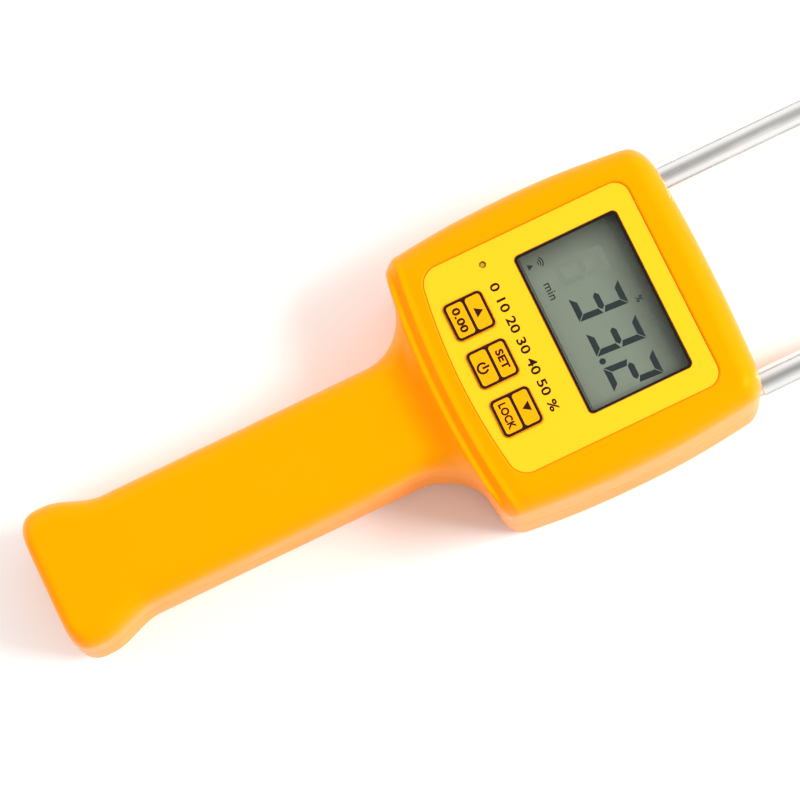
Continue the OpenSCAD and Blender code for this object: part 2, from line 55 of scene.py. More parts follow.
MM = 0.001
HALF_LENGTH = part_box("probe_tip_left")[1].y
# from here on in mm, with lengths counted from the handle's end
FACE_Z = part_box("zero_key")[1].z / MM
PARTING_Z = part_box("back_shell")[1].z / MM
HEAD_BASE, HEAD_TOP = 105.5, 180.1
HALF_HEAD, WIDEST_Y = 37.5, HEAD_BASE + 37.8
HALF_GRIP, END_FLARE, FLARE_Y, END_ROUND, NECK_ROUND = 14.875, 3.825, (7.5, 22), 5.5, 12
GRIP_Z, RISE, BACK_LIFT = 27.7, 7.3, 1.4
WINDOW_Y = 151.25
KEYS_Y, KEY_PITCH, KEY_DROP = 121.85, 13.2, 0.2
KEY_HOLE = (10.3, 10.7, 1.5)
KEY_NAMES = {-1: "zero_key", 0: "power_key", 1: "hold_key"}
LAMP_X, LAMP_Y = -23.4, 130.1
ROD_X, ROD_Y, ROD_Z = 29.1, 141, 8.5
FILM_LOW_Z, FILM_TOP_Z, LCD_Z = 34.2, 34.6, 31.8
CELL_X, CELL_Y, CELL_LOW_Z, CELL_HIGH_Z = 5.4, 25, 9.1, 19.8
BAY_ENDS_Y = (21, 69.5)
BAY_RIBS_Y, SOCKET_RIBS_Y, RIB = (19.2, 69.9), (138.5, 164.1), 1.4
LEAD_HOLE = (-5.4, 69.5)
SCREW_SPOTS = [(-29, 117), (29, 117), (-17, 172.5), (17, 172.5), (0, 9), (0, 80)]


def place(x, y, z):
    """A point in mm from the handle's end, as a point of the shared frame in metres."""
    return Vector((x * MM, y * MM - HALF_LENGTH, z * MM))


# ---- settings ----


def length(name, text, default, low=0.0, high=1.0):
    return bpy.props.FloatProperty(
        name=name, description=text, default=default, min=low, max=high,
        subtype="DISTANCE", unit="LENGTH", precision=5)


def colour(name, text, default):
    return bpy.props.FloatVectorProperty(
        name=name, description=text, default=default, min=0.0, max=1.0, size=3, subtype="COLOR")


def number(name, text, default, low, high):
    return bpy.props.FloatProperty(name=name, description=text, default=default, min=low, max=high)


class CasingSettings(bpy.types.PropertyGroup):
    """The two moulded shells and the battery door"""

    wall: length("Wall", "Thickness of the moulded wall", 0.0022, 0.001, 0.004)
    seam: length("Seam", "Bevel on each half where the two shells meet", 0.00018, 0.0, 0.001)
    recess_slope: length("Recess slope", "Width of the sloped rim round the face film", 0.0004, 0.0, 0.002)
    plastic: colour("Plastic", "Colour of the moulded casing", (1.0, 0.30, 0.0))
    grain: number("Grain", "Depth of the moulded grain", 0.05, 0.0, 1.0)


class FaceSettings(bpy.types.PropertyGroup):
    """The face film, its prints and the display"""

    film: colour("Film", "Colour of the face film", (1.0, 0.475, 0.014))
    ink: colour("Ink", "Colour of the printed marks", (0.008, 0.004, 0.002))
    print_height: length("Print height", "Thickness of a printed layer", 0.00003, 0.00001, 0.0002)
    display: colour("Display", "Colour of the display's back", (0.190, 0.225, 0.168))
    segment: length("Segment", "Width of a digit's segment", 0.00155, 0.0005, 0.003)
    reading: bpy.props.StringProperty(
        name="Reading", description="Digits shown on the display, with one decimal", default="33.2")
    scale_text: bpy.props.StringProperty(
        name="Scale", description="Numbers printed between the keys and the display",
        default="0 10 20 30 40 50 %")


class KeySettings(bpy.types.PropertyGroup):
    """The three keys"""

    side: length("Side", "Width of a key's face", 0.0101, 0.008, 0.0102)
    edge: length("Edge", "Rounding of a key's upper edge", 0.0001, 0.0, 0.001)
    outline: length("Outline", "Width of the printed outline", 0.00068, 0.0001, 0.001)
    rubber: colour("Key", "Colour of the key caps", (1.0, 0.36, 0.004))


class ProbeSettings(bpy.types.PropertyGroup):
    """The two steel probes"""

    steel: colour("Steel", "Colour of the polished steel", (0.90, 0.885, 0.86))
    polish: number("Polish", "Roughness of the polished steel", 0.22, 0.02, 1.0)
    tip_flat: length("Tip", "Radius at the very end of a tip", 0.0004, 0.0001, 0.002)


class StageSettings(bpy.types.PropertyGroup):
    """Floor, light and camera"""

    floor: length("Floor", "Side of the pale floor", 12.0, 1.0, 50.0)
    key_power: number("Key light", "Power of the large light in watts", 38.0, 0.0, 500.0)
    fill_power: number("Fill light", "Power of the fill light in watts", 16.0, 0.0, 500.0)
    lens: number("Lens", "Focal length in millimetres", 182.0, 20.0, 400.0)


# ---- modelling helpers ----


def clear_selection():
    if bpy.context.object and bpy.context.object.mode != "OBJECT":
        bpy.ops.object.mode_set(mode="OBJECT")
    bpy.ops.object.select_all(action="DESELECT")


def only(piece):
    clear_selection()
    piece.select_set(True)
    bpy.context.view_layer.objects.active = piece
    return piece


def settle(piece):
    """The piece's place goes into its mesh."""
    only(piece)
    bpy.ops.object.transform_apply(location=True, rotation=True, scale=True)
    return piece


def pick(piece, kind, chosen):
    """Enters edit mode with the edges or faces selected for which chosen(centre, item) is true.
    The centre is in mm from the handle's end, and an edge's item is its two ends."""
    only(piece)
    mesh = piece.data
    for items in (mesh.vertices, mesh.edges, mesh.polygons):
        items.foreach_set("select", [False] * len(items))
    points = [Vector((v.co.x, v.co.y + HALF_LENGTH, v.co.z)) / MM for v in mesh.vertices]
    items = mesh.edges if kind == "EDGE" else mesh.polygons
    for item in items:
        corners = [points[i] for i in item.vertices]
        item.select = chosen(sum(corners, Vector()) / len(corners), corners if kind == "EDGE" else item)
    if not any(item.select for item in items):
        raise RuntimeError(f"nothing was picked on {piece.name}")
    bpy.ops.object.mode_set(mode="EDIT")
    bpy.ops.mesh.select_mode(type=kind)


def done():
    bpy.ops.object.mode_set(mode="OBJECT")


def block(low, high):
    """A block between two corners given in mm from the handle's end."""
    a, b = place(*low), place(*high)
    clear_selection()
    bpy.ops.mesh.primitive_cube_add(size=1, location=(a + b) / 2, scale=b - a)
    return settle(bpy.context.object)


def bevel_edges(piece, width, segments, chosen):
    """Rounds the edges that chosen picks, by width in mm."""
    pick(piece, "EDGE", chosen)
    bpy.ops.mesh.bevel(offset=width * MM, offset_type="OFFSET", segments=segments, affect="EDGES")
    done()
    return piece


def upright(_, ends):
    """An edge that runs along Z"""
    a, b = ends
    return abs(a.x - b.x) < 1e-3 and abs(a.y - b.y) < 1e-3


def tablet(centre, width, height, corner, low, high):
    """A block with round upright corners, in mm, between two heights."""
    x, y = centre
    piece = block((x - width / 2, y - height / 2, low), (x + width / 2, y + height / 2, high))
    return bevel_edges(piece, corner, 8, upright)


def turned(start, steps, sides=64, direction="Y", hollow=False):
    """A round piece that starts as a circle and is extruded and scaled, ring by ring.
    Each step is the distance from the start and the radius, in mm."""
    turn = {"Y": (-math.pi / 2, 0, 0), "X": (0, math.pi / 2, 0), "Z": (0, 0, 0)}[direction]
    along = Vector([float(direction == name) for name in "XYZ"])
    origin = place(*start)
    clear_selection()
    bpy.ops.mesh.primitive_circle_add(
        vertices=sides, radius=steps[0][1] * MM, fill_type="NOTHING" if hollow else "NGON",
        location=origin + along * steps[0][0] * MM, rotation=turn)
    piece = settle(bpy.context.object)
    bpy.ops.object.mode_set(mode="EDIT")
    bpy.ops.mesh.select_mode(type="EDGE")
    bpy.ops.mesh.select_all(action="SELECT")
    extrude = bpy.ops.mesh.extrude_edges_move if hollow else bpy.ops.mesh.extrude_region_move
    for (far, wide), (near, narrow) in zip(steps[1:], steps):
        extrude(TRANSFORM_OT_translate={"value": along * (far - near) * MM})
        if wide != narrow:
            size = wide / narrow
            bpy.ops.transform.resize(
                value=[1 if a else size for a in along], center_override=origin + along * far * MM)
    bpy.ops.mesh.select_all(action="SELECT")
    bpy.ops.mesh.remove_doubles(threshold=1e-7)
    bpy.ops.mesh.normals_make_consistent(inside=False)
    done()
    return piece


def pin(start, radius, far, sides, direction="Y"):
    """A plain round bar, in mm."""
    return turned(start, [(0, radius), (far, radius)], sides, direction)


def lofted(rings):
    """A closed solid through rings of points in mm, made from one grid that is wrapped round.
    Flat faces close the first and the last ring."""
    count, last = len(rings[0]), len(rings) - 1
    clear_selection()
    bpy.ops.mesh.primitive_grid_add(x_subdivisions=count, y_subdivisions=last, size=2)
    piece = bpy.context.object
    for v in piece.data.vertices:
        i = round((v.co.x + 1) / 2 * count) % count
        k = round((v.co.y + 1) / 2 * last)
        v.co = place(*rings[k][i])
    bpy.ops.object.mode_set(mode="EDIT")
    bpy.ops.mesh.select_all(action="SELECT")
    bpy.ops.mesh.remove_doubles(threshold=1e-7)
    bpy.ops.mesh.select_all(action="DESELECT")
    bpy.ops.mesh.select_mode(type="EDGE")
    bpy.ops.mesh.select_non_manifold()
    bpy.ops.mesh.fill_holes(sides=0)
    bpy.ops.mesh.select_all(action="SELECT")
    bpy.ops.mesh.normals_make_consistent(inside=False)
    done()
    return piece


def join(pieces):
    """One mesh from pieces that stay separate shells."""
    only(pieces[0])
    for piece in pieces[1:]:
        piece.select_set(True)
    if len(pieces) > 1:
        bpy.ops.object.join()
    return pieces[0]


def twin(piece, shift=(0, 0, 0), flip=(1, 1, 1)):
    """A copy with its own mesh, moved by shift in mm and mirrored where flip is -1."""
    other = piece.copy()
    other.data = piece.data.copy()
    bpy.context.collection.objects.link(other)
    other.data.transform(Matrix.Translation(Vector(shift) * MM) @ Matrix.Diagonal((*flip, 1)))
    if flip[0] * flip[1] * flip[2] < 0:
        other.data.flip_normals()
    return other


def combine(piece, other, how="DIFFERENCE"):
    """Cuts, joins or trims piece with other, which is used up."""
    only(piece)
    tool = piece.modifiers.new("combine", "BOOLEAN")
    tool.operation, tool.solver, tool.object = how, "EXACT", other
    bpy.ops.object.modifier_apply(modifier=tool.name)
    bpy.data.objects.remove(other)
    if len(piece.data.polygons) < 4:
        raise RuntimeError(f"{how} left nothing of {piece.name}")
    return piece


def smooth(piece, angle=30):
    """Smooth shading with sharp edges above an angle, and normals weighted by face area"""
    only(piece)
    bpy.ops.object.shade_smooth_by_angle(angle=math.radians(angle))
    tool = piece.modifiers.new("even", "WEIGHTED_NORMAL")
    tool.keep_sharp, tool.weight = True, 80
    bpy.ops.object.modifier_apply(modifier=tool.name)
    return piece


def finished(piece, name, material, body="casing", replaces=()):
    """Names a piece, gives it its material and hands it to its body."""
    piece.name = piece.data.name = name
    if material:
        piece.data.materials.clear()
        piece.data.materials.append(bpy.data.materials[material])
    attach(piece, body)
    if replaces:
        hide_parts(*replaces)
    return piece


def lettering(text, centre, cap_height, low, thick, bold=0.0, spacing=1.0, wide=None):
    """Raised print: its middle, cap height and base height in mm, its thickness in metres, and
    its width in mm where it must fill one."""
    clear_selection()
    bpy.ops.object.text_add(location=(0, 0, 0))
    words = bpy.context.object.data
    words.body, words.size, words.align_x, words.align_y = text, 1.0, "LEFT", "BOTTOM_BASELINE"
    words.offset, words.space_character, words.resolution_u = bold, spacing, 6
    words.extrude = 0.5
    bpy.ops.object.convert(target="MESH")
    piece = bpy.context.object
    xs = [v.co.x for v in piece.data.vertices]
    ys = [v.co.y for v in piece.data.vertices]
    tall = cap_height * MM / (max(ys) - min(ys))
    across = wide * MM / (max(xs) - min(xs)) if wide else tall
    middle = Vector(((max(xs) + min(xs)) / 2, (max(ys) + min(ys)) / 2, -0.5))
    size = Matrix.Diagonal((across, tall, thick, 1))
    piece.data.transform(Matrix.Translation(place(*centre, low)) @ size @ Matrix.Translation(-middle))
    return piece


# ---- section curves of the casing, in mm from the handle's end ----


def edge_drop(r, d):
    """How far a rounded edge of radius r has fallen at distance d from its end"""
    return 0 if d >= r else r - math.sqrt(max(0, r * r - (r - d) ** 2))


def ease(a, b, s):
    t = min(1, max(0, (s - a) / (b - a)))
    return t * t * (3 - 2 * t)


def half_width(s):
    """Half the casing's width at station s"""
    if s < HEAD_BASE:
        past = s - HEAD_BASE + NECK_ROUND
        arc = 0 if past <= 0 else NECK_ROUND - math.sqrt(max(0, NECK_ROUND ** 2 - past ** 2))
        return HALF_GRIP + END_FLARE * (1 - ease(*FLARE_Y, s)) - edge_drop(END_ROUND, s) + arc
    side = HALF_HEAD - (0.00153 if s < WIDEST_Y else 0.00204) * (s - WIDEST_Y) ** 2
    return side - edge_drop(3.5, s - HEAD_BASE) - edge_drop(4.75, HEAD_TOP - s)


# the rise from grip to face with its two soft ridges: distance and share of the rise
STEP = [(7, 0.565), (7.8, 0.79), (8.3, 0.83), (8.8, 0.825), (9.5, 0.785), (10.2, 0.84), (10.9, 0.965),
        (11.4, 0.995), (11.9, 0.985), (12.7, 0.955), (15.3, 1.0)]
STEP_START, STEP_ROUND = 8.2, 8


def step_share(d):
    """Share of the rise from the grip to the face, d past the start of the step"""
    if d <= 0:
        return 0
    if d < STEP[0][0]:
        return (STEP_ROUND - math.sqrt(STEP_ROUND ** 2 - d * d)) / RISE
    for (a, low), (b, high) in zip(STEP, STEP[1:]):
        if d < b:
            return low + (high - low) * (d - a) / (b - a)
    return 1


def front_z(s):
    rise = RISE * step_share(s - HEAD_BASE + STEP_START)
    return GRIP_Z + rise - edge_drop(3, s) - edge_drop(6, HEAD_TOP - s)


def back_z(s):
    lift = BACK_LIFT * (1 - ease(HEAD_BASE, HEAD_BASE + 3, s))
    return lift + edge_drop(3, s) + edge_drop(3, HEAD_TOP - s)


def bulge(s):
    """How strongly the cross walls bow along the length: the square of the width's factor"""
    low = ease(HEAD_BASE - 12, HEAD_BASE - 2, s) * (1 - ease(HEAD_BASE + 7, HEAD_BASE + 25, s))
    return 0.0022 * low - 0.0011 * ease(HEAD_BASE + 45, HEAD_BASE + 66, s)


def draft(s, z):
    """How far the back of the head's lower wall leans away from the grip, growing toward the floor"""
    near = ease(HEAD_BASE - 7, HEAD_BASE - 1, s) * (1 - ease(HEAD_BASE + 1, HEAD_BASE + 14, s))
    return 1.3 * near * max(0, 1 - z / PARTING_Z)


def section(s, up, inset, fine):
    """The outline of one half at station s, closed along the parting plane. up is 1 for the front
    half, -1 for the back, and inset moves it inward for the cavity."""
    near = [s - inset, s, s + inset] if inset else [s]
    w = min(half_width(a) for a in near) - inset
    z = min(front_z(a) for a in near) - inset if up > 0 else max(back_z(a) for a in near) + inset
    into = ease(HEAD_BASE - 12, HEAD_BASE + 4, s)
    r = max(0.8, (5.5 + 0.5 * into if up > 0 else 5 - 2 * into) - inset)
    base = PARTING_Z - up * inset * 0.5
    turns, flats, rises = (10, 20, 4) if fine else (4, 8, 1)
    start = z - up * r
    side = [(w, base + (start - base) * k / rises) for k in range(rises)]
    corner = [(w - r + r * math.cos(a), z - up * (r - r * math.sin(a)))
              for a in (math.pi / 2 * k / turns for k in range(turns))]
    half = side + corner
    flat = [((w - r) * (1 - 2 * k / flats), z) for k in range(flats + 1)]
    over = half + flat + [(-x, h) for x, h in reversed(half)]
    under = [(x, base) for x, h in reversed(over[rises + 1:-rises - 1])]
    return over + under


def shell_rings(up, inset, fine, stations):
    rings = []
    for s in stations:
        b = bulge(s)
        rings.append([(x, s + b * x * x + draft(s, z), z) for x, z in section(s, up, inset, fine)])
    for k, s in ((0, stations[0]), (-1, stations[-1])):
        ring = section(s, up, inset, fine)
        middle = (min(z for _, z in ring) + max(z for _, z in ring)) / 2
        b = bulge(s)
        closing = [(0.8 * x, s + b * 0.64 * x * x, middle) for x, _ in ring]
        rings.insert(0 if k == 0 else len(rings), closing)
    return rings


def spread(a, b, step):
    count = max(1, round((b - a) / step))
    return [a + (b - a) * k / count for k in range(count)]


def casing_stations():
    """Stations of the outer skin, closer where it curves"""
    quarter = [math.pi / 2 * k / 12 for k in range(13)]
    return (
        [5.5 * (1 - math.cos(a)) for a in quarter[:-1]]
        + spread(5.5, 22, 0.9) + spread(22, 93.5, 7) + spread(93.5, 97.3, 0.65)
        + spread(97.3, 105.45, 0.4) + [105.45]
        + [HEAD_BASE + 3.5 * (1 - math.cos(a)) for a in quarter[:-1]]
        + spread(109, 113.2, 0.42) + spread(113.2, 124, 1.4) + spread(124, 174.1, 3.5)
        + [HEAD_TOP - 6 * (1 - math.sin(a)) for a in quarter])


def inner_stations(inset):
    """Stations of the cavity, which needs fewer"""
    picked = [5.5, 9, 14, 22, 50, 75, 93.5, 97.3, 100, 102, 104, 105.1, 105.45, 107, 109, 113, 118,
              128, 143, 160, 170, 174.1]
    return [inset] + picked + [HEAD_TOP - inset]


def half_shell(up):
    """The outside of one half of the casing as a solid block"""
    return lofted(shell_rings(up, 0, True, casing_stations()))


def film_outline(grow, count=14):
    """The face film's outline: straight sides, round corners and a lower edge on a wide arc"""
    w, top, low, corner, low_corner, arc = 28.15, 170.2, 112.7, 4.0, 4.9, 150.0
    # centre of a lower corner: its circle touches the side and the wide arc
    cx = w - low_corner
    cy = low + arc - math.sqrt((arc - low_corner) ** 2 - cx ** 2)
    meet = math.atan2(cx, low + arc - cy)
    points, side, base = [], [], []
    for k in range(count + 1):
        a, r = math.pi / 2 * k / count, corner + grow
        points.append((w - corner + r * math.cos(a), top - corner + r * math.sin(a)))
        a, r = -math.pi / 2 + meet + (math.pi / 2 - meet) * k / count, low_corner + grow
        side.append((cx + r * math.cos(a), cy + r * math.sin(a)))
    for k in range(1, 24):
        a = meet * (2 * k / 24 - 1)
        base.append(((arc + grow) * math.sin(a), low + arc - (arc + grow) * math.cos(a)))
    mirrored = [[(-x, y) for x, y in reversed(half)] for half in (points, side)]
    return points + mirrored[0] + mirrored[1] + base + side


def rounded_outline(width, height, corner, centre=(0, 0), count=8):
    """The outline of a rounded rectangle, as a function of its growth"""

    def outline(grow):
        points = []
        for sx, sy, start in ((1, 1, 0), (-1, 1, 1), (-1, -1, 2), (1, -1, 3)):
            for k in range(count + 1):
                a = math.pi / 2 * (start + k / count)
                r = max(0.02, corner + grow)
                points.append((centre[0] + sx * (width / 2 - corner) + r * math.cos(a),
                               centre[1] + sy * (height / 2 - corner) + r * math.sin(a)))
        return points

    return outline


def slab(outline, levels):
    """A flat solid from an outline function and its levels, each a growth and a height in mm"""
    return lofted([[(x, y, z) for x, y in outline(grow)] for grow, z in levels])


def prism(corners, low, high):
    """An upright solid over a list of corners in mm"""
    return lofted([[(x, y, z) for x, y in corners] for z in (low, high)])


def key_holes(low, high):
    """The solids that open the three holes for the keys"""
    return [tablet((k * KEY_PITCH, KEYS_Y - KEY_DROP), *KEY_HOLE, low, high) for k in KEY_NAMES]


class METER_OT_casing(bpy.types.Operator):
    """Model the front and back shells with their recesses and openings"""

    bl_idname = "meter.casing"
    bl_label = "Casing"

    def execute(self, context):
        settings = context.scene.meter_casing
        wall = settings.wall / MM
        for up in (1, -1):
            shell = half_shell(up)
            pick(shell, "FACE", lambda m, f: abs(m.z - PARTING_Z) < 1e-3 and abs(f.normal.z) > 0.99)
            bpy.ops.mesh.region_to_loop()
            bpy.ops.mesh.bevel(offset=settings.seam, offset_type="OFFSET", segments=1, affect="EDGES")
            done()
            combine(shell, lofted(shell_rings(up, wall, False, inner_stations(wall))))
            if up > 0:
                self.front(shell, settings)
            else:
                self.back(shell)
        return {"FINISHED"}

    def front(self, shell, settings):
        """Adds screw posts and ribs, and cuts the film's recess, the window, key and lamp holes"""
        head_post, grip_post, outer, core = 18.3, 11.2, 3, 1.5
        posts = []
        for x, y in SCREW_SPOTS:
            h = head_post if y > HEAD_BASE else grip_post
            steps = [(0, core), (0, outer), (h, outer), (h, core), (0, core)]
            posts.append(turned((x, y, PARTING_Z), steps, 32, "Z", True))
        for y in BAY_RIBS_Y:
            rib = block((-13.8, y, PARTING_Z), (13.8, y + RIB, 21))
            posts.append(combine(rib, block((-10.9, y, 20), (10.9, y + RIB, 26)), "UNION"))
        combine(shell, join(posts), "UNION")
        slope, gap = settings.recess_slope / MM, 0.15
        rim = [(gap, FILM_LOW_Z), (gap, 34.72), (gap + slope, 35.02), (gap + slope, 36)]
        combine(shell, slab(film_outline, rim))
        openings = [tablet((0, WINDOW_Y), 44.6, 28.95, 1.5, 33, FILM_TOP_Z), *key_holes(31, 36)]
        openings.append(pin((LAMP_X, LAMP_Y, 31), 1.6, 5, 32, "Z"))
        openings.append(pin((*LEAD_HOLE, CELL_HIGH_Z + 0.2), 1.3, 4, 24))
        combine(shell, join(openings))
        combine(shell, tablet((0, WINDOW_Y + 0.25), 42.9, 26.8, 0.8, 31, 34))
        smooth(shell, 28)
        finished(shell, "casing_front", "moulded_plastic", "casing", ["front_shell"])

    def back(self, shell):
        """Adds screw bosses and ribs, and cuts the screw holes, rod holes, lead hole and bay"""
        floor, boss = 1.8, 4.2
        inside = [pin((x, y, floor), boss, PARTING_Z - floor, 40, "Z") for x, y in SCREW_SPOTS]
        inside += [block((-13.9, y, 5.8), (13.9, y + RIB, PARTING_Z)) for y in BAY_RIBS_Y]
        inside += [block((side * ROD_X - 5.5, y, 1.7), (side * ROD_X + 5.5, y + RIB, 9.7))
                   for side in (-1, 1) for y in SOCKET_RIBS_Y]
        combine(shell, join(inside), "UNION")
        recesses = []
        for x, y in SCREW_SPOTS:
            skin = 1 if y > HEAD_BASE else 2.4
            steps = [(0, 3.35), (skin, 3.35), (skin + 0.35, 3), (6, 3), (6, 1.7), (30, 1.7)]
            recesses.append(turned((x, y, -1), steps, 48, "Z"))
        recesses += [pin((side * ROD_X, ROD_Y, ROD_Z), 3.55, 60, 48) for side in (-1, 1)]
        recesses.append(pin((*LEAD_HOLE, CELL_LOW_Z), 1.3, 4, 24))
        recesses.append(block((-11.6, 20, -1), (11.6, 71, 4.5)))
        combine(shell, join(recesses))
        smooth(shell, 28)
        finished(shell, "casing_back", "moulded_plastic", "casing", ["back_shell"])


# ---- face film and display ----


def digit_segments(wide, tall, thick, gap):
    """The seven segments of a digit, each a list of corners from its lower left"""
    w, h, t, g, m = wide, tall, thick, gap, tall / 2
    a = [(g, h), (w - g, h), (w - t - g, h - t), (t + g, h - t)]
    b = [(w, h - g), (w, m + g), (w - t, m + t / 2 + g), (w - t, h - t - g)]
    shapes = {"a": a, "b": b}
    shapes["c"] = [(x, h - y) for x, y in b]
    shapes["d"] = [(x, h - y) for x, y in a]
    shapes["e"] = [(w - x, h - y) for x, y in b]
    shapes["f"] = [(w - x, y) for x, y in b]
    shapes["g"] = [(t / 2 + g, m), (t + g, m + t / 2), (w - t - g, m + t / 2), (w - t / 2 - g, m),
                   (w - t - g, m - t / 2), (t + g, m - t / 2)]
    return shapes


DIGITS = {"0": "abcdef", "1": "bc", "2": "abged", "3": "abgcd", "4": "fgbc", "5": "afgcd", "6": "afgedc",
          "7": "abc", "8": "abcdefg", "9": "abcdfg"}
DIGIT_W, DIGIT_H, DIGIT_PITCH, DIGIT_SLANT, DIGIT_GAP = 6.45, 12.9, 9.65, 0.066, 0.16
DIGIT_Y, GHOST_X, FIRST_X = 145.32, -13.05, -3.4


def digit(middle_x, lit, thick, low, high):
    """One digit's lit segments as separate flat solids"""
    shapes = digit_segments(DIGIT_W, DIGIT_H, thick, DIGIT_GAP)
    left, half = middle_x - DIGIT_W / 2, DIGIT_H / 2
    slanted = ([(left + x + DIGIT_SLANT * (y - half), DIGIT_Y + y) for x, y in shapes[name]] for name in lit)
    return [prism(corners, low, high) for corners in slanted]


def arc_band(centre, radius, line, start, end, low, high, count=20):
    """A flat band along part of a circle, angles in degrees"""
    turns = [math.radians(start + (end - start) * k / count) for k in range(count + 1)]
    outer, inner = (
        [(centre[0] + r * math.cos(a), centre[1] + r * math.sin(a)) for a in way]
        for r, way in ((radius + line / 2, turns), (radius - line / 2, turns[::-1])))
    return prism(outer + inner, low, high)


class METER_OT_face(bpy.types.Operator):
    """Model the face film with its openings and prints"""

    bl_idname = "meter.face"
    bl_label = "Face film"

    def execute(self, context):
        settings = context.scene.meter_face
        film = slab(film_outline, [(0, FILM_LOW_Z), (0, 34.5), (-0.1, FILM_TOP_Z)])
        openings = [tablet((0, WINDOW_Y), 43.7, 28.05, 1.5, 34, 35), *key_holes(34, 35)]
        openings.append(pin((LAMP_X, LAMP_Y, 34), 0.9, 1, 32, "Z"))
        combine(film, join(openings))
        smooth(film, 40)
        finished(film, "face_film", "face_film", "casing", ["label_overlay"])
        scale = lettering(settings.scale_text, (-0.5, 130.35), 2.4, FILM_TOP_Z, settings.print_height,
                          bold=0.022, spacing=1.05, wide=35.0)
        finished(scale, "face_scale_print", "printed_ink", "casing")
        return {"FINISHED"}


class METER_OT_display(bpy.types.Operator):
    """Model the display: the glass stack, its segments, the window pane and its printed border"""

    bl_idname = "meter.display"
    bl_label = "Display"

    def execute(self, context):
        settings = context.scene.meter_face
        thin = settings.print_height / MM
        self.glass()
        self.segments(settings, LCD_Z, LCD_Z + thin)
        centre = (0, WINDOW_Y)
        pane = slab(rounded_outline(44.4, 28.75, 1.4, centre), [(0, 33), (0, 34.2)])
        raised = slab(rounded_outline(43.5, 27.85, 1.4, centre), [(0, 34), (0, 34.42), (-0.08, 34.5)])
        combine(pane, raised, "UNION")
        smooth(pane, 30)
        finished(pane, "window_pane", "clear_acrylic", "casing", ["display_window"])
        border = slab(rounded_outline(43.3, 27.65, 1.3, centre), [(0, 34.5), (0, 34.5 + thin)])
        # the border is real print; its opening sits off centre, so the border is wider along the upper and
        # left sides, and that extra width is painted shade of the frame's edge
        combine(border, slab(rounded_outline(42.1, 26.4, 0.8, (0.05, WINDOW_Y - 0.05)), [(0, 34), (0, 35)]))
        finished(border, "window_border", "printed_ink", "casing")
        return {"FINISHED"}

    def glass(self):
        """A rear plate, a shorter front plate over its contact ledge, and a polariser sheet"""
        x, y, ledge = 22.6, 15.6, 2.6
        rear = block((-x, WINDOW_Y - y, 29), (x, WINDOW_Y + y, 30.3))
        front = block((-x, WINDOW_Y - y + ledge, 30.3), (x, WINDOW_Y + y, 31.55))
        sheet = block((-x + 0.5, WINDOW_Y - y + ledge + 0.5, 31.55), (x - 0.5, WINDOW_Y + y - 0.5, LCD_Z))
        for part, width in ((rear, 0.12), (front, 0.12), (sheet, 0.05)):
            bevel_edges(part, width, 1, lambda m, ends: True)
        glass = combine(combine(rear, front, "UNION"), sheet, "UNION")
        smooth(glass, 30)
        finished(glass, "display_glass", "display_glass", "casing", ["lcd_panel"])

    def segments(self, settings, low, high):
        """The reading, its unit and signs, and one digit that is off and barely shows"""
        line = settings.segment / MM
        ghost, lit = digit(GHOST_X, "abcdefg", line, low, high), []
        for k, figure in enumerate(settings.reading.replace(".", "")[:3]):
            lit += digit(FIRST_X + DIGIT_PITCH * k, DIGITS[figure], line, low, high)
        lit.append(pin((10.6, 146.05, low), 0.8, high - low, 24, "Z"))
        lit.append(lettering("%", (0.44, 160.9), 1.75, low, settings.print_height, 0.015))
        lit.append(lettering("min", (-10.7, 142.35), 2.0, low, settings.print_height, 0.01, 1.05, 4.4))
        for radius in (0.55, 1.15, 1.75):
            lit.append(arc_band((-18.4, 142.1), radius, 0.28, 45, 135, low, high))
        lit.append(prism([(-19.1, 139.9), (-17.6, 139.9), (-18.35, 141.3)], low, high))
        finished(join(lit), "display_segments", "display_dark", "casing")
        finished(join(ghost), "display_faint_segments", "display_faint", "casing")


# ---- keys ----


